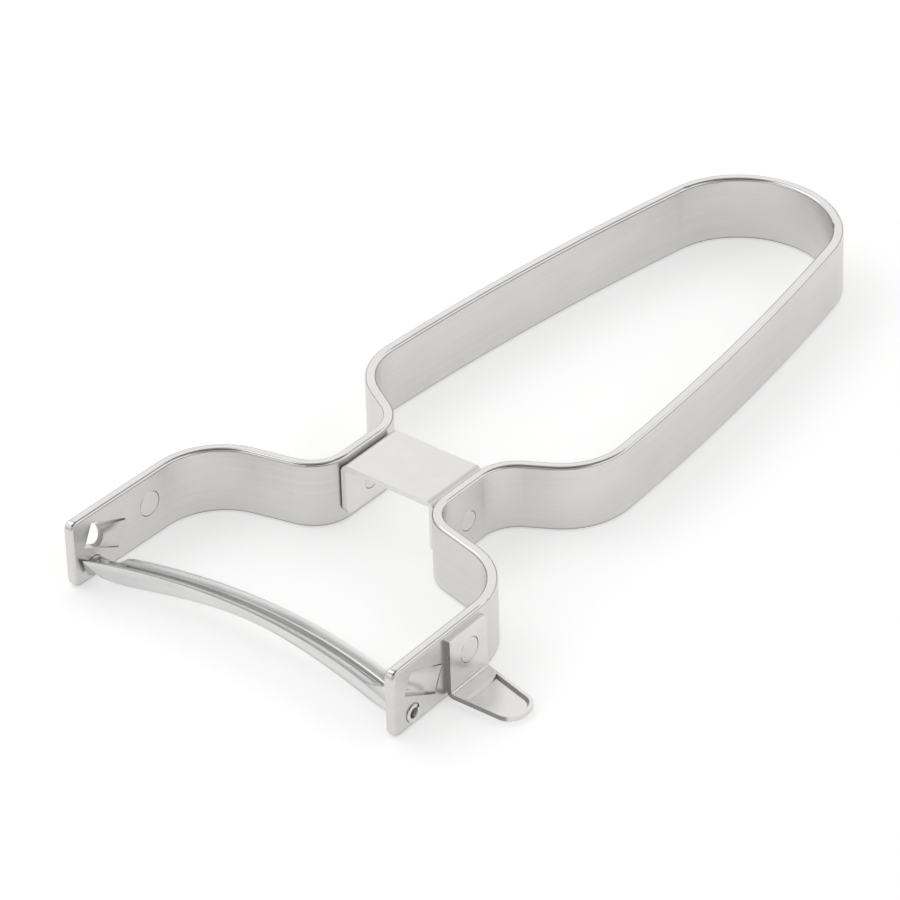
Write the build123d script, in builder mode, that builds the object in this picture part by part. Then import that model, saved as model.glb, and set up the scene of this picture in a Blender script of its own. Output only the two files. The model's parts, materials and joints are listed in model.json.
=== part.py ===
"""Swivel-blade vegetable peeler: a strip bent into a looped handle with a wide fork,
a folded bridge plate riveted across its neck, a bowed blade that swings in the fork's
two arms, and a plate on the outside of each arm, one of them with an eye cutter.

Millimetres. +Z is up from the surface the peeler lies on, +Y runs to the handle's rear,
+X to the arm with the eye cutter. The origin is under the middle of the handle's rear end.
"""
from build123d import *
from math import asin, cos, degrees, radians, sin
import os

# Strip of the frame
strip_height = 11.0
strip_thickness = 1.7
edge_rounding = 0.5
tip_corner_radius = 1.3

# Half-widths over the strip's centreline: handle where its sides end, neck, and arm tips
handle_half = 22.0
neck_half = 9.5
arms_half = 29.6

# Bends of the strip from the rear end forward, and the straight or nearly straight runs
tail_turn = 44.85
shoulder_radius = 12.9
shoulder_turn = 34.2
side_length = 62.2
side_turn = 7.9
waist_radius = 10.9
waist_turn = 63.2
throat_radius = 6.75
neck_length = 7.5
fork_root_radius = 6.0
fork_rise = 13.5
fork_shoulder_radius = 11.0
arm_splay = 1.3
arm_length = 19.9

# Pivot holes, from each arm's tip and from the strip's lower edge
pivot_from_tip = 4.15
pivot_height = 2.2
pivot_hole_diameter = 3.0
pivot_clearance = 0.08

# Stop tab lanced out of each arm, on an axis that rises towards the tip
tab_root_from_tip = 10.1
tab_root_height = 4.45
tab_front_from_tip = 4.4
tab_front_height = 7.1
tab_root_width = 4.0
tab_front_width = 3.2
tab_sheet = 1.0
tab_edge_depth = 1.3
tab_middle_depth = 2.4
tab_root_crown = 0.05
tab_root_seat = 0.3
tab_slit = 0.3
tab_front_gap = 1.3

# Plates on the arms
plate_from_tip = 11.7
plate_length = 8.5
plate_sheet = 0.8
plate_foot_height = 0.8
plate_top_height = 9.95
plate_corner_radius = 0.8
plate_back_break = 0.2
plate_rivet_diameter = 4.0
plate_rivet_from_tip = 16.1
plate_rivet_height = 6.2

# Eye cutter: a spoon that bends outwards from the foot of one plate
cutter_reach = 11.7
cutter_foot_height = 0.3
cutter_bend_radius = 0.4
cutter_tip_width = 5.7
cutter_tip_radius = 2.7
cutter_rim = 0.5
cutter_dish_depth = 0.5
cutter_dish_start = 3.0
cutter_dish_draft = 35.0

# Bridge plate folded across the neck
bridge_length = 11.5
bridge_sheet = 0.9
bridge_top_height = 10.5
bridge_foot_height = 1.7
bridge_bend_radius = 1.4
bridge_corner_radius = 1.2
bridge_rivet_diameter = 3.2
bridge_rivet_height = 5.1

# Rivets are flush, with a small break round each end that shows as a ring
rivet_clearance = 0.02
rivet_edge_break = 0.12

# Blade: a bowed angle with a long slot, drawn in its own frame at the pivot
blade_tilt = 22.0
blade_sheet = 0.6
blade_bow = 3.75
blade_side_gap = 0.4
blade_wall_front = 1.85
blade_crease_height = 3.3
blade_crease_radius = 0.5
blade_web_width = 3.15
blade_web_slope = 12.0
blade_web_half = 25.7
blade_web_corner = 2.2
blade_front_strip = 0.7
blade_slot_width = 1.1
blade_slot_half = 20.0
blade_bevel = 0.45
blade_bevel_depth = 0.45
blade_wall_middle = 0.5
blade_wall_deepest = -1.5
blade_wall_deepest_at = 22.5
blade_wall_end = -0.3
blade_end_slant = 1.6
trunnion_proud = 0.3
trunnion_seat = 3.6
trunnion_wall = 0.6
trunnion_slit = 0.7
trunnion_slit_turn = 15.0

# One overrun serves every cut
overrun = 1.0


def rise(angle):
    """Sine of a heading given in degrees."""
    return sin(radians(angle))


def run(angle):
    """Cosine of a heading given in degrees."""
    return cos(radians(angle))


# Headings of the centreline, in degrees to the right of +X
side_start = tail_turn + shoulder_turn
side_end = side_start + side_turn
waist_end = side_end + waist_turn
arm_heading = 90 - arm_splay

# Radii and runs that follow from the half-widths
side_radius = side_length / radians(side_turn)
tail_radius = (
    handle_half
    - shoulder_radius * (rise(side_start) - rise(tail_turn))
    - side_radius * (rise(side_end) - rise(side_start))
) / rise(tail_turn)
waist_run = (
    handle_half
    - neck_half
    - waist_radius * (rise(side_end) - rise(waist_end))
    - throat_radius * (1 - rise(waist_end))
) / -run(waist_end)
fork_run = (
    arms_half
    - neck_half
    - fork_root_radius * (1 - rise(fork_rise))
    - fork_shoulder_radius * (rise(arm_heading) - rise(fork_rise))
    - arm_length * run(arm_heading)
) / run(fork_rise)

# Centreline of the right half, from the rear end to the tip of the arm
with BuildLine() as centreline:
    tail = JernArc((0, 0), (1, 0), tail_radius, -tail_turn)
    shoulder = JernArc(tail @ 1, tail % 1, shoulder_radius, -shoulder_turn)
    side = JernArc(shoulder @ 1, shoulder % 1, side_radius, -side_turn)
    waist = JernArc(side @ 1, side % 1, waist_radius, -waist_turn)
    waist_line = PolarLine(waist @ 1, waist_run, direction=waist % 1)
    throat = JernArc(waist_line @ 1, waist_line % 1, throat_radius, waist_end - 90)
    neck = PolarLine(throat @ 1, neck_length, direction=throat % 1)
    fork_root = JernArc(neck @ 1, neck % 1, fork_root_radius, 90 - fork_rise)
    fork_line = PolarLine(fork_root @ 1, fork_run, direction=fork_root % 1)
    fork_shoulder = JernArc(
        fork_line @ 1, fork_line % 1, fork_shoulder_radius, fork_rise - arm_heading
    )
    arm = PolarLine(fork_shoulder @ 1, arm_length, direction=fork_shoulder % 1)

# Outer face of the right arm: its x runs back from the tip, its y up, its z outwards
arm_tip = arm @ 1
outward = Vector(run(arm_splay), rise(arm_splay), 0)
rearward = Vector(-rise(arm_splay), run(arm_splay), 0)
arm_face = Plane(
    origin=arm_tip + outward * (strip_thickness / 2), x_dir=rearward, z_dir=outward
)

across_arm = Axis((0, 0, 0), outward)

# Neck: the outer face looks along +X, and the bridge sits between the inner faces
neck_middle = neck @ 0.5
neck_face = Plane(
    origin=(neck_half + strip_thickness / 2, neck_middle.Y, 0), x_dir=(0, 1, 0), z_dir=(1, 0, 0)
)
bridge_half = neck_half - strip_thickness / 2

# Pivot axis, and the blade's frame there: x along the axis, y to the bow, z square to both
pivot = Vector(0, (arm_tip + rearward * pivot_from_tip).Y, pivot_height)
blade_plan = Plane(origin=pivot, x_dir=(1, 0, 0), z_dir=(0, -rise(blade_tilt), run(blade_tilt)))
blade_front = Plane(origin=pivot, x_dir=(1, 0, 0), z_dir=blade_plan.y_dir * -1)
blade_section = Plane(origin=pivot, x_dir=blade_plan.y_dir, z_dir=(1, 0, 0))


def on_arm(along, up, out=0.0):
    """A point beside the right arm, measured from the foot of its tip on the outer face."""
    return arm_face.from_local_coords(Vector(along, up, out))


# Where the stop tab starts and ends, and which way it runs
tab_root = Vector(tab_root_from_tip, tab_root_height)
tab_front = Vector(tab_front_from_tip, tab_front_height)
tab_length = (tab_front - tab_root).length
tab_run = (tab_front - tab_root).normalized()
tab_across = tab_run.rotate(Axis.Z, 90)


def tab_section(distance, width, edge_depth, middle_depth, sheet):
    """Cross-section of the tab at a distance from its root, sunk deepest at its middle."""
    centre = tab_root + tab_run * distance
    along = on_arm(centre.X + tab_run.X, centre.Y + tab_run.Y) - on_arm(centre.X, centre.Y)
    plane = Plane(origin=on_arm(centre.X, centre.Y), x_dir=outward.cross(along), z_dir=along)
    with BuildSketch(plane) as section:
        with BuildLine():
            inner_left = (-width / 2, -edge_depth - sheet)
            inner_right = (width / 2, -edge_depth - sheet)
            outer_left = (-width / 2, -edge_depth)
            outer_right = (width / 2, -edge_depth)
            Line(outer_left, inner_left)
            ThreePointArc(inner_left, (0, -middle_depth - sheet), inner_right)
            Line(inner_right, outer_right)
            ThreePointArc(outer_right, (0, -middle_depth), outer_left)
        make_face()
    return section.sketch


def is_long(edge, length):
    """Whether an edge has a given length."""
    return abs(edge.length - length) < length / 1000


# Frame: one half with its rounded edges, its stop tab and its holes, then mirrored
with BuildPart() as frame_strip:
    with BuildSketch():
        trace(centreline.line, line_width=strip_thickness)
    extrude(amount=strip_height)
    tip_face = frame_strip.faces().sort_by(Axis.Y)[0]
    fillet(tip_face.edges().filter_by(lambda e: is_long(e, strip_thickness)), tip_corner_radius)
    rims = frame_strip.edges().filter_by(
        lambda e: not is_long(e, strip_height) and not is_long(e, strip_thickness)
    )
    fillet(rims, edge_rounding)

    # Window round the stop tab
    with BuildSketch(arm_face):
        window_front = tab_root + tab_run * (tab_length + tab_front_gap)
        root_edge = tab_across * (tab_root_width / 2 + tab_slit)
        front_edge = tab_across * (tab_front_width / 2 + tab_slit)
        with BuildLine():
            Polyline(
                tab_root + root_edge,
                window_front + front_edge,
                window_front - front_edge,
                tab_root - root_edge,
                close=True,
            )
        make_face()
    extrude(amount=-strip_thickness - overrun, both=True, mode=Mode.SUBTRACT)

    # Stop tab, flush at its root and pushed inwards at its front
    loft(
        sections=[
            tab_section(-tab_root_seat, tab_root_width, 0, tab_root_crown, strip_thickness),
            tab_section(tab_length, tab_front_width, tab_edge_depth, tab_middle_depth, tab_sheet),
        ]
    )

    # Holes for the blade's trunnion and for the rivets
    with BuildSketch(blade_section):
        Circle(pivot_hole_diameter / 2)
    extrude(amount=arms_half + strip_thickness, mode=Mode.SUBTRACT)
    with BuildSketch(arm_face):
        with Locations((plate_rivet_from_tip, plate_rivet_height)):
            Circle(plate_rivet_diameter / 2 + rivet_clearance)
    extrude(amount=-strip_thickness, mode=Mode.SUBTRACT)
    with BuildSketch(neck_face):
        with Locations((0, bridge_rivet_height)):
            Circle(bridge_rivet_diameter / 2 + rivet_clearance)
    extrude(amount=-strip_thickness, mode=Mode.SUBTRACT)
    mirror(about=Plane.YZ)

# Bridge: a plate folded down at both sides, riveted between the walls of the neck
with BuildPart() as bridge:
    with BuildSketch(Plane.XZ.offset(-neck_middle.Y - bridge_length / 2)):
        fold_height = bridge_top_height - bridge_foot_height
        with Locations((0, bridge_top_height)):
            fold = Rectangle(2 * bridge_half, fold_height, align=(Align.CENTER, Align.MAX))
        fillet(fold.vertices().group_by(Axis.Y)[-1], bridge_bend_radius)
        with Locations((0, bridge_top_height - bridge_sheet)):
            Rectangle(
                2 * (bridge_half - bridge_sheet),
                fold_height,
                align=(Align.CENTER, Align.MAX),
                mode=Mode.SUBTRACT,
            )
    extrude(amount=bridge_length)
    across = bridge.edges().filter_by(Axis.X)
    foot_corners = across.filter_by(lambda e: is_long(e, bridge_sheet)).group_by(Axis.Z)[0]
    fillet(foot_corners, bridge_corner_radius)
    with BuildSketch(neck_face):
        with Locations((0, bridge_rivet_height)):
            Circle(bridge_rivet_diameter / 2 + rivet_clearance)
    extrude(amount=-2 * neck_half - strip_thickness, mode=Mode.SUBTRACT)

# Rivets through the neck, flush outside, the left one mirrored from the right
with BuildPart() as bridge_rivet_right:
    with BuildSketch(neck_face):
        with Locations((0, bridge_rivet_height)):
            Circle(bridge_rivet_diameter / 2)
    extrude(amount=-strip_thickness - bridge_sheet)
    chamfer(bridge_rivet_right.edges().filter_by(GeomType.CIRCLE), rivet_edge_break)

with BuildPart() as bridge_rivet_left:
    add(bridge_rivet_right.part)
    mirror(about=Plane.YZ, mode=Mode.REPLACE)

# Plate on the left arm, with its back edges broken: drawn on the right arm, then mirrored
with BuildPart() as side_plate:
    with BuildSketch(arm_face):
        with Locations((plate_from_tip, plate_foot_height)):
            Rectangle(plate_length, plate_top_height - plate_foot_height, align=Align.MIN)
    extrude(amount=plate_sheet)
    fillet(side_plate.edges().filter_by(across_arm).group_by(Axis.Z)[-1], plate_corner_radius)
    chamfer(side_plate.faces().sort_by(across_arm)[0].edges(), plate_back_break)
    with BuildSketch(arm_face.offset(plate_sheet)):
        with Locations((plate_rivet_from_tip, plate_rivet_height)):
            Circle(plate_rivet_diameter / 2 + rivet_clearance)
    extrude(amount=-plate_sheet, mode=Mode.SUBTRACT)
    mirror(about=Plane.YZ, mode=Mode.REPLACE)

# Eye cutter: plate and spoon in one folded sheet, trimmed to the spoon's outline
cutter_side = Plane(origin=on_arm(plate_from_tip, 0), x_dir=outward, z_dir=rearward * -1)
cutter_plan = Plane(origin=on_arm(0, 0), x_dir=outward, z_dir=(0, 0, 1))
cutter_top = cutter_foot_height + plate_sheet
with BuildPart() as eye_cutter:
    with BuildSketch(cutter_side):
        with BuildLine():
            fold_line = FilletPolyline(
                (plate_sheet, plate_top_height),
                (plate_sheet, cutter_top),
                (cutter_reach, cutter_top),
                radius=cutter_bend_radius,
            )
            outer_line = FilletPolyline(
                (cutter_reach, cutter_foot_height),
                (0, cutter_foot_height),
                (0, plate_top_height),
                radius=cutter_bend_radius + plate_sheet,
            )
            Line(fold_line @ 1, outer_line @ 0)
            Line(outer_line @ 1, fold_line @ 0)
        make_face()
    extrude(amount=-plate_length)

    # Spoon outline, its tip rounded
    with BuildSketch(cutter_plan):
        with BuildLine():
            Polyline(
                (-overrun, plate_from_tip),
                (cutter_reach, plate_from_tip),
                (cutter_reach, plate_from_tip + cutter_tip_width),
                (plate_sheet, plate_from_tip + plate_length),
                (-overrun, plate_from_tip + plate_length),
                close=True,
            )
        outline = make_face()
        fillet(outline.vertices().sort_by(across_arm)[-2:], cutter_tip_radius)
    extrude(amount=plate_top_height + overrun, mode=Mode.INTERSECT)

    # Dish pressed into the spoon, with its belly below
    with BuildSketch(cutter_plan.offset(cutter_top)):
        with BuildLine():
            Polyline(
                (cutter_dish_start, plate_from_tip + cutter_rim),
                (cutter_reach - cutter_rim, plate_from_tip + cutter_rim),
                (cutter_reach - cutter_rim, plate_from_tip + cutter_tip_width - cutter_rim),
                (cutter_dish_start, plate_from_tip + plate_length - 2 * cutter_rim),
                close=True,
            )
        dish = make_face()
        fillet(dish.vertices().sort_by(across_arm)[-2:], cutter_tip_radius - cutter_rim)
    extrude(amount=-cutter_dish_depth, taper=cutter_dish_draft, mode=Mode.SUBTRACT)
    top_corners = eye_cutter.edges().filter_by(across_arm).group_by(Axis.Z)[-1]
    fillet(top_corners.sort_by(Axis.Y)[-1], plate_corner_radius)
    with BuildSketch(arm_face.offset(plate_sheet)):
        with Locations((plate_rivet_from_tip, plate_rivet_height)):
            Circle(plate_rivet_diameter / 2 + rivet_clearance)
    extrude(amount=-plate_sheet, mode=Mode.SUBTRACT)

# Rivets through the arms and their plates, the left one mirrored from the right
with BuildPart() as eye_cutter_rivet:
    with BuildSketch(arm_face.offset(plate_sheet)):
        with Locations((plate_rivet_from_tip, plate_rivet_height)):
            Circle(plate_rivet_diameter / 2)
    extrude(amount=-strip_thickness - plate_sheet)
    chamfer(eye_cutter_rivet.edges().filter_by(GeomType.CIRCLE), rivet_edge_break)

with BuildPart() as side_plate_rivet:
    add(eye_cutter_rivet.part)
    mirror(about=Plane.YZ, mode=Mode.REPLACE)

# Blade: sizes that follow from the arms it swings between
arm_outer_x = on_arm(pivot_from_tip, pivot_height).X
blade_half = arm_outer_x - strip_thickness / run(arm_splay) - blade_side_gap
blade_radius = (blade_half**2 + blade_bow**2) / (2 * blade_bow)
bow_centre = blade_bow - blade_wall_front - blade_radius
blade_arc = degrees(asin((blade_half + overrun) / blade_radius))
cutting_edge = blade_front_strip + blade_slot_width
slot_radius = blade_radius + cutting_edge - blade_slot_width / 2
slot_turn = degrees(asin((blade_slot_half - blade_slot_width / 2) / slot_radius))
bow_origin = blade_plan.from_local_coords((0, bow_centre, 0))
bow_axis = Axis(bow_origin, blade_plan.z_dir * -1)


def bow_section(turn):
    """Plane through the bow's axis: x away from the axis, y square to the blade's plan."""
    away = blade_plan.y_dir * run(turn) + blade_plan.x_dir * rise(turn)
    return Plane(origin=bow_origin, x_dir=away, z_dir=away.cross(blade_plan.z_dir))


def web_point(back, down=0.0):
    """A point of the section, back from the wall's front and down from the web's top."""
    slope = rise(blade_web_slope) / run(blade_web_slope)
    return (
        blade_radius + back - down * rise(blade_web_slope),
        blade_crease_height - back * slope - down * run(blade_web_slope),
    )


with BuildPart() as blade:
    # Angle section swept round the bow, its crease rounded
    with BuildSketch(bow_section(-blade_arc)) as angle:
        wall_low = blade_wall_deepest - overrun
        inner_crease = web_point(blade_sheet * (1 + rise(blade_web_slope)), blade_sheet)
        with BuildLine():
            Polyline(
                (blade_radius, wall_low),
                web_point(0),
                web_point(blade_web_width),
                web_point(blade_web_width, blade_sheet),
                inner_crease,
                (blade_radius + blade_sheet, wall_low),
                close=True,
            )
        make_face()
        fillet(angle.vertices().sort_by(Axis.Y)[-1], blade_crease_radius)
    revolve(axis=bow_axis, revolution_arc=2 * blade_arc)

    # Ends and lower edge of the wall, seen from the front
    with BuildSketch(blade_front):
        with BuildLine():
            low_edge = Spline(
                (0, blade_wall_middle),
                (blade_wall_deepest_at, blade_wall_deepest),
                (blade_half - blade_end_slant, blade_wall_end),
                tangents=[(1, 0), (1, 1)],
            )
            Polyline(
                low_edge @ 1,
                (blade_half, blade_crease_height),
                (blade_half, blade_crease_height + overrun),
                (0, blade_crease_height + overrun),
                low_edge @ 0,
            )
        make_face()
        mirror(about=Plane.YZ)
    extrude(amount=blade_radius, both=True, mode=Mode.INTERSECT)

    # Web and slot, seen from above
    with BuildSketch(blade_plan) as web_plan:
        with Locations((0, bow_centre)):
            Circle(blade_radius + blade_web_width)
            Circle(blade_radius, mode=Mode.SUBTRACT)
        Rectangle(2 * blade_web_half, 2 * blade_radius, mode=Mode.INTERSECT)
        ends = web_plan.vertices().group_by(Axis.X)
        fillet([ends[0].sort_by(Axis.Y)[-1], ends[-1].sort_by(Axis.Y)[-1]], blade_web_corner)
        with BuildLine(mode=Mode.PRIVATE):
            slot_arc = CenterArc((0, bow_centre), slot_radius, 90 + slot_turn, -2 * slot_turn)
        SlotArc(slot_arc, blade_slot_width, mode=Mode.SUBTRACT)
        with BuildLine():
            CenterArc((0, bow_centre), blade_radius + blade_sheet / 2, 90 + blade_arc, -2 * blade_arc)
        trace(line_width=blade_sheet)
    extrude(amount=blade_crease_height + overrun, both=True, mode=Mode.INTERSECT)

    # Bevel ground along the slot's rear edge
    with BuildSketch(bow_section(-slot_turn)):
        with BuildLine():
            Polyline(
                web_point(cutting_edge - blade_bevel, 2 * blade_bevel_depth),
                web_point(cutting_edge + 2 * blade_bevel, -blade_bevel_depth),
                web_point(cutting_edge - blade_bevel, -blade_bevel_depth),
                close=True,
            )
        make_face()
    revolve(axis=bow_axis, revolution_arc=2 * slot_turn, mode=Mode.SUBTRACT)

    # Trunnions rolled from the ends of the wall, open towards the bow
    trunnion_radius = pivot_hole_diameter / 2 - pivot_clearance
    trunnion_start = blade_half - trunnion_seat
    with BuildSketch(blade_section.offset(trunnion_start)):
        Circle(trunnion_radius)
        Circle(trunnion_radius - trunnion_wall, mode=Mode.SUBTRACT)
        with Locations(Location((0, 0), trunnion_slit_turn)):
            Rectangle(
                pivot_hole_diameter, trunnion_slit, align=(Align.MIN, Align.CENTER), mode=Mode.SUBTRACT
            )
    trunnion = extrude(amount=arm_outer_x + trunnion_proud - trunnion_start)
    mirror(trunnion, about=Plane.YZ)

frame_strip.part.label = "frame_strip"
bridge.part.label = "bridge"
bridge_rivet_right.part.label = "bridge_rivet_right"
bridge_rivet_left.part.label = "bridge_rivet_left"
side_plate.part.label = "side_plate"
side_plate_rivet.part.label = "side_plate_rivet"
eye_cutter.part.label = "eye_cutter"
eye_cutter_rivet.part.label = "eye_cutter_rivet"
blade.part.label = "blade"

os.makedirs("parts", exist_ok=True)
export_step(frame_strip.part, "parts/frame_strip.step")
export_step(bridge.part, "parts/bridge.step")
export_step(bridge_rivet_right.part, "parts/bridge_rivet_right.step")
export_step(bridge_rivet_left.part, "parts/bridge_rivet_left.step")
export_step(side_plate.part, "parts/side_plate.step")
export_step(side_plate_rivet.part, "parts/side_plate_rivet.step")
export_step(eye_cutter.part, "parts/eye_cutter.step")
export_step(eye_cutter_rivet.part, "parts/eye_cutter_rivet.step")
export_step(blade.part, "parts/blade.step")
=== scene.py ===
# %% [markdown]
# A vegetable peeler made of bare steel: a bent strip, two plates, a folded bridge and a
# bowed blade. The solid pieces come ready from the CAD model, so this script is about
# what steel looks like: how it was rolled, tumbled, ground and polished, and what a white
# studio does to it.

# %% Load the pieces
import json
import math

import bmesh
import bpy
from mathutils import Matrix, Vector


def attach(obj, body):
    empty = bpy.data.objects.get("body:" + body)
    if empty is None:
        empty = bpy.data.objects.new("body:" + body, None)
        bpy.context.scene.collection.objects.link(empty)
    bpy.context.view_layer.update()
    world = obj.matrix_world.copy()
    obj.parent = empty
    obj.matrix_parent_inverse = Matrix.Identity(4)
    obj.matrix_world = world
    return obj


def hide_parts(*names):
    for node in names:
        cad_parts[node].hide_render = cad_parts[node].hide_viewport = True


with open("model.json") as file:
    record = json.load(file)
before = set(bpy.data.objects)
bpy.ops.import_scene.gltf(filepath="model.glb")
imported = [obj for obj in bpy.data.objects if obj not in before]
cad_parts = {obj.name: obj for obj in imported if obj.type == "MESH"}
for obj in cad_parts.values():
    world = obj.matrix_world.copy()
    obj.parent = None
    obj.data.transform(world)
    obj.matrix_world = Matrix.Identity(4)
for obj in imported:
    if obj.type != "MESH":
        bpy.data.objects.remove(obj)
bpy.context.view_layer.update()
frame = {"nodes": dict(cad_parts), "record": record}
nodes = frame["nodes"]
mm = 0.001
print("pieces:", ", ".join(sorted(nodes)))

# %% [markdown]
# The camera stands at the front right, above the table. A long lens far away keeps the
# two arms nearly parallel, as a catalogue picture does. Its angles were found from the
# outline of the handle, so they aren't round numbers. It could be aimed with a Track To
# constraint, but a constraint has no room for the small roll, so the rotation is built
# from three axes instead.

# %% Camera
camera_azimuth = math.radians(39.917)
camera_elevation = math.radians(34.289)
camera_roll = math.radians(-1.833)
camera_distance = 816.2 * mm
aim_point = Vector((-7.976, -76.38, 0)) * mm
focal_length_px = 5502.8
image_width_px = 900
sensor_width_mm = 36

level = math.cos(camera_elevation)
towards_camera = Vector((
    math.sin(camera_azimuth) * level,
    -math.cos(camera_azimuth) * level,
    math.sin(camera_elevation),
))
level_right = Vector((math.cos(camera_azimuth), math.sin(camera_azimuth), 0))
level_up = towards_camera.cross(level_right)
camera_right = level_right * math.cos(camera_roll) + level_up * math.sin(camera_roll)
camera_up = towards_camera.cross(camera_right)
camera_turn = Matrix((camera_right, camera_up, towards_camera)).transposed()

bpy.ops.object.camera_add(
    location=aim_point + towards_camera * camera_distance,
    rotation=camera_turn.to_euler(),
)
camera = bpy.context.object
camera.data.sensor_width = sensor_width_mm
camera.data.lens = focal_length_px / image_width_px * sensor_width_mm
bpy.context.scene.camera = camera
print("lens:", round(camera.data.lens, 1), "mm")

# %% [markdown]
# Materials are easier to read as formulas than as lists of nodes. A Signal wraps the
# output of a node and turns +, -, * and / into Math nodes. A Finish is a material whose
# nodes all come from one method.

# %% Formulas for materials
class Signal:
    """A number that varies over a surface, usable in sums and products."""

    def __init__(self, finish, socket):
        self.finish = finish
        self.socket = socket

    def maths(self, operation, *others, **settings):
        values = dict(enumerate([self, *others]))
        return self.finish.node("ShaderNodeMath", {"operation": operation, **settings}, values)

    def __add__(self, other):
        return self.maths("ADD", other)

    def __sub__(self, other):
        return self.maths("SUBTRACT", other)

    def __mul__(self, other):
        return self.maths("MULTIPLY", other)

    def __truediv__(self, other):
        return self.maths("DIVIDE", other)

    def __rsub__(self, other):
        return self * -1 + other

    __radd__ = __add__
    __rmul__ = __mul__

    def size(self):
        """How far it is from zero."""
        return self.maths("ABSOLUTE")

    def step_up(self, start, end):
        """0 below start and 1 above end, with a smooth step between them."""
        return self.finish.node(
            "ShaderNodeMapRange",
            {"interpolation_type": "SMOOTHSTEP"},
            {"Value": self, "From Min": start, "From Max": end},
        )


class Nodes:
    """A node tree under construction."""

    def __init__(self, tree):
        self.tree = tree

    def feed(self, socket, value):
        if isinstance(value, Signal):
            self.tree.links.new(value.socket, socket)
        else:
            socket.default_value = value

    def node(self, kind, settings=None, values=None, output=0):
        """Adds a node: its settings first, then the values or links of its sockets."""
        made = self.tree.nodes.new(kind)
        for name, setting in (settings or {}).items():
            setattr(made, name, setting)
        for name, value in (values or {}).items():
            self.feed(made.inputs[name], value)
        return Signal(self, made.outputs[output])


class Finish(Nodes):
    """A material under construction, with one shader."""

    def __init__(self, name):
        self.material = bpy.data.materials.new(name)
        self.material.use_nodes = True
        super().__init__(self.material.node_tree)
        self.shader = self.tree.nodes["Principled BSDF"]

    def place(self):
        """The place on the object, in metres."""
        return self.node("ShaderNodeTexCoord", output=3)

    def height(self):
        """Height above the table, in millimetres."""
        return self.node("ShaderNodeSeparateXYZ", {}, {"Vector": self.place()}, output=2) / mm

    def noise(self, grain, detail=2.0, seed=0.0):
        """Soft spots whose size along x, y and z is given, in millimetres, from 0 to 1."""
        stretched = self.node(
            "ShaderNodeMapping",
            {},
            {
                "Vector": self.place(),
                "Location": (seed, seed, seed),
                "Scale": [1 / (size * mm) for size in grain],
            },
        )
        return self.node(
            "ShaderNodeTexNoise", {}, {"Vector": stretched, "Scale": 1.0, "Detail": detail}
        )

    def tint(self, share, dark, light):
        """A colour between dark and light, where light may itself be a tint."""
        if not isinstance(light, Signal):
            light = (*light, 1)
        return self.node(
            "ShaderNodeMix", {"data_type": "RGBA"}, {0: share, 6: (*dark, 1), 7: light}, output=2
        )

    def bump(self, height, depth):
        """A surface raised by a height from 0 to 1, depth in millimetres."""
        return self.node(
            "ShaderNodeBump", {}, {"Height": height, "Distance": depth * mm, "Strength": 1.0}
        )

    def set(self, **values):
        """Sets the shader's sockets by name, with spaces written as underscores."""
        for name, value in values.items():
            self.feed(self.shader.inputs[name.replace("_", " ")], value)
        return self.material


def dress(material, *names):
    """Gives a material to the named pieces."""
    for name in names:
        nodes[name].data.materials.clear()
        nodes[name].data.materials.append(material)


# %% [markdown]
# Rolled strip is brushed along its length, so its faces carry fine lines that run level
# round the whole handle. The lines could follow a UV map, but the strip always runs level
# and its lines differ only in height, so a noise that is stretched level does the same
# from the place alone. The rims were rounded and polished in the tumbler: they are
# smoother than the faces. The lowest edge is painted nearly black, as painted shade for
# the contact shadow along the table that the lower rim mirrors.

# %% Strip
strip_height = 11.0
rim_depth = 0.5
foot_shade_depth = 0.6

strip = Finish("strip_steel")
lines = strip.noise(grain=(9, 9, 0.055), detail=3.0)
broad_lines = strip.noise(grain=(26, 26, 0.5), detail=1.0, seed=3.0)
clouds = strip.noise(grain=(7, 7, 5), detail=2.0, seed=7.0)
half_height = strip_height / 2
from_middle = (strip.height() - half_height).size()
rim = from_middle.step_up(half_height - rim_depth, half_height - rim_depth / 3)
shade = clouds * 0.3 + broad_lines * 0.3 + lines * 0.4
brushed = strip.tint(shade, (0.59, 0.58, 0.565), (0.81, 0.80, 0.785))
# Painted shade: below this height the strip's colour turns nearly black, standing in for the
# contact shadow along the table.
above_foot_shade = strip.height().step_up(0.1, foot_shade_depth)
strip.set(
    Base_Color=strip.tint(above_foot_shade, (0.2, 0.195, 0.19), brushed),
    Metallic=1.0,
    Roughness=lines * 0.1 + broad_lines * 0.08 + 0.22 - rim * 0.16,
    Normal=strip.bump(lines * (1 - rim), 0.004),
)
dress(strip.material, "frame_strip")
print("strip:", len(strip.tree.nodes), "nodes")

# %% [markdown]
# The bridge and the side plate are stamped and then tumbled with small stones, which
# leaves a matt skin without any direction. Two noises make it: a fine one for the grain
# and a wide one for the uneven clouds that show on large flat faces.

# %% Bridge and plates
plates = Finish("plate_steel")
grain = plates.noise(grain=(0.09, 0.09, 0.09), detail=3.0)
clouds = plates.noise(grain=(4, 4, 4), detail=3.0, seed=5.0)
plates.set(
    Base_Color=plates.tint(clouds, (0.76, 0.75, 0.735), (0.88, 0.87, 0.855)),
    Metallic=1.0,
    Roughness=grain * 0.12 + clouds * 0.08 + 0.28,
    Normal=plates.bump(grain, 0.004),
)
dress(plates.material, "bridge", "side_plate")
print("bridge and side plate:", len(plates.tree.nodes), "nodes")

# %% [markdown]
# The eye cutter is pressed from sheet and finished satin. Faces that look along y, its
# thick front and rear edges, are painted dark, as painted shade for the shadow in the gap
# along the plate's edges. A second material on those faces would need picking them by
# hand, and the normal finds them by itself.

# %% Eye cutter
edge_shade_facing = (0.8, 0.95)

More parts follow.
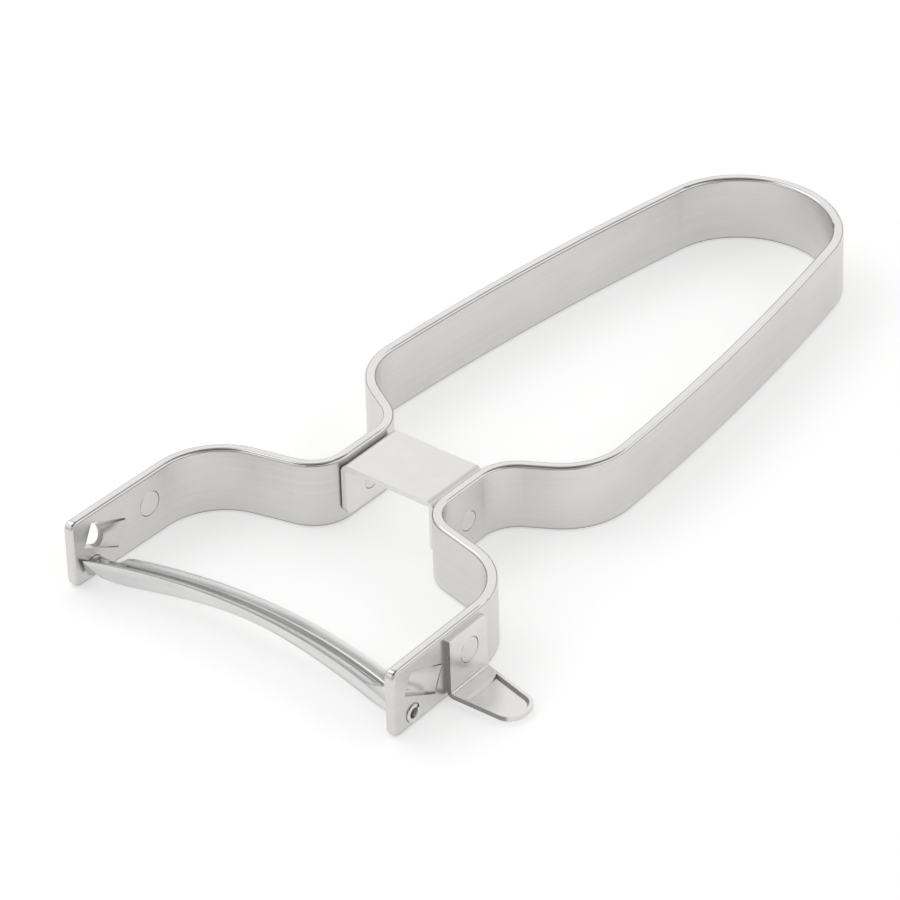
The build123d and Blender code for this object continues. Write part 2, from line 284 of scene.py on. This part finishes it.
cutter = Finish("cutter_steel")
grain = cutter.noise(grain=(0.1, 0.1, 0.1), detail=3.0, seed=2.0)
clouds = cutter.noise(grain=(3, 3, 3), detail=2.0, seed=6.0)
normal = cutter.node("ShaderNodeNewGeometry", output=1)
facing_front = cutter.node("ShaderNodeSeparateXYZ", {}, {"Vector": normal}, output=1).size()
satin = cutter.tint(clouds, (0.68, 0.67, 0.655), (0.80, 0.79, 0.78))
# Painted shade: faces whose normal points along y get a nearly black colour, standing in for the
# shadow in the gap along the plate's edges.
cutter.set(
    Base_Color=cutter.tint(1 - facing_front.step_up(*edge_shade_facing), (0.3, 0.295, 0.29), satin),
    Metallic=1.0,
    Roughness=grain * 0.08 + clouds * 0.08 + 0.15,
    Normal=cutter.bump(grain, 0.002),
)
dress(cutter.material, "eye_cutter")
print("eye cutter:", len(cutter.tree.nodes), "nodes")

# %% [markdown]
# The rivets are ground flush with the faces, so all that is left of them is a ring and a
# slightly different grain.

# %% Rivets
rivets = Finish("rivet_steel")
grain = rivets.noise(grain=(0.12, 0.12, 0.12), detail=2.0, seed=4.0)
rivets.set(
    Base_Color=rivets.tint(grain, (0.68, 0.67, 0.655), (0.79, 0.78, 0.765)),
    Metallic=1.0,
    Roughness=grain * 0.12 + 0.24,
    Normal=rivets.bump(grain, 0.003),
)
dress(
    rivets.material,
    "bridge_rivet_left",
    "bridge_rivet_right",
    "eye_cutter_rivet",
    "side_plate_rivet",
)
print("rivets:", len(rivets.tree.nodes), "nodes")

# %% [markdown]
# The blade is pressed from thin sheet into a sharp fold: a narrow wall in front, and a wide
# web that slopes down behind it, with a long slot whose rear edge cuts. The whole fold is
# bowed. It could be lofted between curves, but a fold of one section is what the Spin
# operator is made for: one vertex is extruded along the section at the left end, and the
# chain is then spun about the axis of the bow.

# %% Blade's frame
pivot = Vector(frame["record"]["behaviour"]["joints"][0]["pos_m"])
blade_tilt = math.radians(22)
across = Vector((1, 0, 0))
bow_back = Vector((0, math.cos(blade_tilt), math.sin(blade_tilt)))
bow_up = across.cross(bow_back)

blade_half = 28.25
bow_depth = 3.75
wall_behind_pivot = 1.9
bow_radius = (blade_half**2 + bow_depth**2) / (2 * bow_depth)
bow_centre = pivot + bow_back * (wall_behind_pivot - bow_radius) * mm
end_turn = math.asin(blade_half / bow_radius)


def on_bow(back, up, turn):
    """A point behind the wall's face and above the pivot, turned along the bow."""
    away = bow_back * math.cos(turn) + across * math.sin(turn)
    return bow_centre + (away * (bow_radius + back) + bow_up * up) * mm


def from_wall(place):
    """How far a point lies behind the wall's face, in millimetres."""
    arm = (place - bow_centre) / mm
    return (arm - bow_up * arm.dot(bow_up)).length - bow_radius


print("bow radius:", round(bow_radius, 1), "mm")

# %% [markdown]
# Operators act on what is selected, so a small helper selects faces by their place, as one
# would pick them by eye in a window. Another one leaves edit mode and applies modifiers.

# %% Picking by place
def pick(test):
    """Selects the faces of the mesh in edit mode whose middle passes a test."""
    bpy.ops.mesh.select_mode(type="FACE")
    bpy.ops.mesh.select_all(action="DESELECT")
    mesh = bmesh.from_edit_mesh(bpy.context.object.data)
    for face in mesh.faces:
        face.select_set(test(face.calc_center_median()))
    mesh.select_flush_mode()
    bmesh.update_edit_mesh(bpy.context.object.data)


def finish_mesh(name, modifiers):
    """Leaves edit mode and applies modifiers, each given as a type and its settings."""
    bpy.ops.object.mode_set(mode="OBJECT")
    piece = bpy.context.object
    piece.name = name
    for kind, settings in modifiers:
        added = piece.modifiers.new(kind.title(), kind)
        for setting, value in settings.items():
            setattr(added, setting, value)
        bpy.ops.object.modifier_apply(modifier=added.name)
    return piece


# %% [markdown]
# The section has six points: the wall's foot, the fold, the front and the rear edge of the
# slot, the line where the bevel of the cutting edge ends, and the web's rear edge.
# Spinning makes one row of faces between each two points, so the slot and the bevel are
# rows of their own.

# %% Fold
wall_foot = (0.0, 0.5)
fold = (0.0, 3.3)
slot_front = (2.1, 0.5)
cutting_edge = (2.75, 0.2)
bevel_end = (3.15, -0.22)
rear_edge = (5.2, -2.1)
spin_steps = 112

bpy.ops.object.select_all(action="DESELECT")
bpy.ops.mesh.primitive_plane_add(size=mm)
bpy.ops.object.mode_set(mode="EDIT")
bpy.ops.mesh.merge(type="CENTER")
section = [wall_foot, fold, slot_front, cutting_edge, bevel_end, rear_edge]
corners = [on_bow(*corner, -end_turn) for corner in section]
bpy.ops.transform.translate(value=corners[0])
for start, end in zip(corners, corners[1:]):
    bpy.ops.mesh.extrude_vertices_move(TRANSFORM_OT_translate={"value": end - start})
bpy.ops.mesh.select_all(action="SELECT")
bpy.ops.mesh.spin(steps=spin_steps, angle=2 * end_turn, center=bow_centre, axis=bow_up)
print("faces after the spin:", len(bmesh.from_edit_mesh(bpy.context.object.data).faces))

# %% [markdown]
# Spin keeps its vertices in one order, but lists edges and faces in another order in each
# run, and the rounding of later steps depends on it. So the mesh is filled again with its
# own faces, sorted by their vertices, and the blade comes out the same every time.

# %% Order of the faces
bpy.ops.object.mode_set(mode="OBJECT")
spun = bpy.context.object.data
places = [vert.co.copy() for vert in spun.vertices]
faces = sorted(tuple(face.vertices) for face in spun.polygons)
spun.clear_geometry()
spun.from_pydata(places, [], faces)
bpy.ops.object.mode_set(mode="EDIT")
print("sorted faces:", len(faces))

# %% [markdown]
# The slot and the ends of the web are faces to delete. The web's rear corners are rounded by
# three slanted cuts each.

# %% Slot and ends
slot_half = 23.6
web_half = 25.7
corner_radius = 2.2
corner_slants = (22.5, 45, 67.5)
cut_tolerance = 1e-7


def side_cut(test, through, away):
    """Cuts the faces that pass a test along a plane and clears what lies beyond it."""
    pick(test)
    bpy.ops.mesh.bisect(
        plane_co=through, plane_no=away, clear_outer=True, threshold=cut_tolerance
    )


pick(
    lambda place: abs(place.x) < slot_half * mm
    and slot_front[0] < from_wall(place) < cutting_edge[0]
)
bpy.ops.mesh.delete(type="FACE")
pick(lambda place: abs(place.x) > web_half * mm and from_wall(place) > cutting_edge[0])
bpy.ops.mesh.delete(type="FACE")
for side in (-1, 1):
    end_of_web = math.asin(side * (web_half - corner_radius) / bow_radius)
    heart = on_bow(rear_edge[0] - corner_radius, 0, end_of_web)
    outwards = across * side
    for slant in map(math.radians, corner_slants):
        away = outwards * math.cos(slant) + bow_back * math.sin(slant)
        side_cut(
            lambda place: place.x * side > 0 and from_wall(place) > cutting_edge[0],
            heart + away * corner_radius * mm,
            away,
        )
print("faces left:", len(bmesh.from_edit_mesh(bpy.context.object.data).faces))

# %% [markdown]
# The wall is tallest near its ends, so its foot is drawn down there, and the ends
# themselves are slanted. Cutting them off would leave long thin faces, so the vertices of
# the wall are moved instead, more the lower they lie.

# %% Wall's foot
wall_end_slant = 1.6
wall_reach = slot_front[0] / 4
deepest_foot = -1.4
deepest_at = 22.5
foot_at_end = -0.3


def past_deepest(x):
    """0 up to the deepest place of the foot, and 1 at the blade's end."""
    return max(abs(x) - deepest_at, 0) / (blade_half - deepest_at)


def foot_height(x):
    """Height of the wall's foot above the pivot at a distance from the middle."""
    share = min(abs(x) / deepest_at, 1)
    drop = (wall_foot[1] - deepest_foot) * share**2 * (3 - 2 * share)
    return wall_foot[1] - drop + (foot_at_end - deepest_foot) * past_deepest(x) ** 2


mesh = bmesh.from_edit_mesh(bpy.context.object.data)
for vert in mesh.verts:
    if from_wall(vert.co) < wall_reach:
        x = vert.co.x / mm
        up = (vert.co - pivot).dot(bow_up) / mm
        share = (fold[1] - up) / (fold[1] - wall_foot[1])
        x -= math.copysign(share * wall_end_slant * past_deepest(x), x)
        up += (foot_height(vert.co.x / mm) - wall_foot[1]) * share
        vert.co = on_bow(0, up, math.asin(x / bow_radius))
bmesh.update_edit_mesh(bpy.context.object.data)
print("foot at the ends:", round(foot_height(blade_half), 2), "mm above the pivot")

# %% [markdown]
# The blade is polished after it is pressed. Pressing leaves long, shallow waves in the
# sheet, which bend the reflections far more than they can be felt. The web behind the
# slot is ground last, across the sheet, with a finer finish, and its colour is set near
# white as painted sheen for the bright reflection it shows. The narrow edges of the
# sheet stay as the press tore them, rough and dark.

# %% Blade's steel
blade_steel = Finish("blade_steel")
waves = blade_steel.noise(grain=(9, 2.5, 2.5), detail=1.0, seed=1.0)
scratches = blade_steel.noise(grain=(0.08, 2.0, 2.0), detail=2.0, seed=8.0)
blade_steel.set(
    Base_Color=blade_steel.tint(waves, (0.66, 0.66, 0.66), (0.82, 0.82, 0.815)),
    Metallic=1.0,
    Roughness=scratches * 0.1 + 0.2,
    Normal=blade_steel.bump(waves + scratches * 0.03, 0.02),
)
ground_steel_painted_sheen = Finish("ground_steel_painted_sheen")
strokes = ground_steel_painted_sheen.noise(grain=(0.06, 1.0, 1.0), detail=2.0, seed=9.0)
# Painted sheen: the near-white colour stands in for the bright reflection on the ground web, on
# top of its real fine strokes.
ground_steel_painted_sheen.set(
    Base_Color=ground_steel_painted_sheen.tint(strokes, (0.92, 0.92, 0.915), (0.98, 0.98, 0.975)),
    Metallic=1.0,
    Roughness=strokes * 0.1 + 0.16,
)
cut_steel = Finish("cut_steel")
tears = cut_steel.noise(grain=(0.1, 0.4, 0.4), detail=2.0, seed=10.0)
cut_steel.set(
    Base_Color=cut_steel.tint(tears, (0.5, 0.5, 0.495), (0.6, 0.6, 0.595)),
    Metallic=1.0,
    Roughness=tears * 0.2 + 0.35,
)

# %% [markdown]
# The web's ground rows get their own material. Then Solidify gives the sheet its thickness,
# on the inner side of the fold, and the third material on its narrow edges. A small Bevel
# breaks the corners.

# %% Thickness
sheet_thickness = 0.6
edge_break = 0.06
weld_distance = 0.005 * mm

sheet = bpy.context.object
sheet.data.materials.append(blade_steel.material)
sheet.data.materials.append(ground_steel_painted_sheen.material)
sheet.data.materials.append(cut_steel.material)
pick(lambda place: from_wall(place) > cutting_edge[0])
sheet.active_material_index = 1
bpy.ops.object.material_slot_assign()
bpy.ops.mesh.select_all(action="SELECT")
bpy.ops.mesh.remove_doubles(threshold=weld_distance)
bpy.ops.mesh.normals_make_consistent(inside=False)
front_faces = [
    face.normal.dot(bow_back)
    for face in bmesh.from_edit_mesh(sheet.data).faces
    if from_wall(face.calc_center_median()) < wall_reach
]
if sum(front_faces) > 0:
    bpy.ops.mesh.flip_normals()
sheet = finish_mesh(
    "blade_fold",
    [
        (
            "SOLIDIFY",
            {
                "thickness": sheet_thickness * mm,
                "offset": -1,
                "use_even_offset": True,
                "material_offset_rim": 2,
            },
        ),
        ("BEVEL", {"width": edge_break * mm, "segments": 2, "limit_method": "ANGLE"}),
    ],
)
print("blade's faces:", len(sheet.data.polygons))

# %% [markdown]
# Each end of the blade is rolled into a small tube, which turns in the hole of its arm. A
# tube is an open cylinder with the faces of the seam deleted, and it gets its wall from
# Solidify, as the sheet did.

# %% Trunnions
trunnion_radius = 1.42
trunnion_length = 4.2
trunnion_end = 30.6
seam_turn = math.radians(37)
seam_half = math.radians(15)
trunnion_sides = 48
smooth_below = math.radians(35)


def in_seam(place):
    """Whether a place on the tube lies in its seam."""
    turn = math.atan2(place.z - pivot.z, place.y - pivot.y)
    return abs(turn - seam_turn) < seam_half


trunnions = []
for side in (-1, 1):
    bpy.ops.object.select_all(action="DESELECT")
    bpy.ops.mesh.primitive_cylinder_add(
        vertices=trunnion_sides,
        radius=trunnion_radius * mm,
        depth=trunnion_length * mm,
        end_fill_type="NOTHING",
        location=pivot + across * side * (trunnion_end - trunnion_length / 2) * mm,
        rotation=(0, math.pi / 2, 0),
    )
    bpy.ops.object.transform_apply(location=True, rotation=True, scale=True)
    bpy.ops.object.mode_set(mode="EDIT")
    pick(in_seam)
    bpy.ops.mesh.delete(type="FACE")
    tube = finish_mesh(
        "trunnion",
        [
            ("SOLIDIFY", {"thickness": sheet_thickness * mm, "offset": -1}),
            ("BEVEL", {"width": edge_break * mm, "segments": 2, "limit_method": "ANGLE"}),
        ],
    )
    tube.data.materials.append(blade_steel.material)
    trunnions.append(tube)

bpy.ops.object.select_all(action="DESELECT")
for piece in [*trunnions, sheet]:
    piece.select_set(True)
bpy.context.view_layer.objects.active = sheet
bpy.ops.object.join()
bpy.ops.object.shade_smooth_by_angle(angle=smooth_below)
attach(sheet, "blade")
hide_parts("blade")
print("trunnions:", len(trunnions))

# %% [markdown]
# A white table and a white room. The table is a real surface, because the peeler's soft
# shadow falls on it. Where the camera or the steel sees it, it glows a little, so that it
# comes out white without more light on the steel.

# %% Table
table_size = 4000 * mm
table_drop = 0.02 * mm
glow = 0.52

bpy.ops.mesh.primitive_plane_add(size=table_size, location=(0, 0, -table_drop))
table = bpy.context.object
table.name = "table"

top = Finish("table_white")
camera_ray = top.node("ShaderNodeLightPath", output=0)
glossy_ray = top.node("ShaderNodeLightPath", output=3)
seen_directly = camera_ray.maths("MAXIMUM", glossy_ray)
top.set(
    Base_Color=(0.7, 0.7, 0.696, 1),
    Roughness=0.8,
    Emission_Color=top.tint(seen_directly, (0, 0, 0), (1, 1, 1)),
    Emission_Strength=glow,
)
table.data.materials.append(top.material)
print("table:", round(table_size / mm), "mm")

# %% [markdown]
# Polished steel shows what stands round it. A photographer's white tent is brightest where
# the lamps stand behind its walls, half way up. Its top and its foot are dimmer, and the
# opening for the lens is darker still. These differences draw the thin dark and white
# lines along every rounded rim, and without them the steel looks like plaster.

# %% Room
world = bpy.data.worlds.new("white_tent")
bpy.context.scene.world = world
world.use_nodes = True
tent = Nodes(world.node_tree)
background = world.node_tree.nodes["Background"]
dim_light = 0.3
wall_light = 1.12
wall_foot_fade = (0.12, 0.34)
wall_top_fade = (0.66, 0.84)
opening_dark = 0.5
opening_fade = (0.72, 0.93)

direction = tent.node("ShaderNodeTexCoord", output=0)
up = tent.node("ShaderNodeSeparateXYZ", {}, {"Vector": direction}, output=2)
towards_lens = tent.node(
    "ShaderNodeVectorMath",
    {"operation": "DOT_PRODUCT"},
    {0: direction, 1: towards_camera},
    output=1,
)
lit_wall = up.step_up(*wall_foot_fade) * (1 - up.step_up(*wall_top_fade))
opening = towards_lens.step_up(*opening_fade)
seen = tent.node("ShaderNodeLightPath", output=0)
tent_light = dim_light + lit_wall * (wall_light - dim_light) - opening * opening_dark
tent.feed(background.inputs["Color"], (1, 1, 1, 1))
tent.feed(background.inputs["Strength"], tent_light.maths("MAXIMUM", seen))
print("tent:", len(tent.tree.nodes), "nodes")

# %% [markdown]
# One weak lamp above the left gives the shadow its direction. The Standard view shows the
# white of the table as white.

# %% Lamp
lamp_place = Vector((-700, -150, 1100)) * mm
lamp_aim = Vector((0, -70, 0)) * mm
lamp_size = 700 * mm
lamp_watts = 2.0

bpy.ops.object.light_add(type="AREA", location=lamp_place)
key = bpy.context.object
key.data.size = lamp_size
key.data.energy = lamp_watts
key.rotation_euler = (lamp_aim - lamp_place).to_track_quat("-Z", "Y").to_euler()
print("lamp:", lamp_watts, "W")
bpy.context.scene.view_settings.view_transform = "Standard"
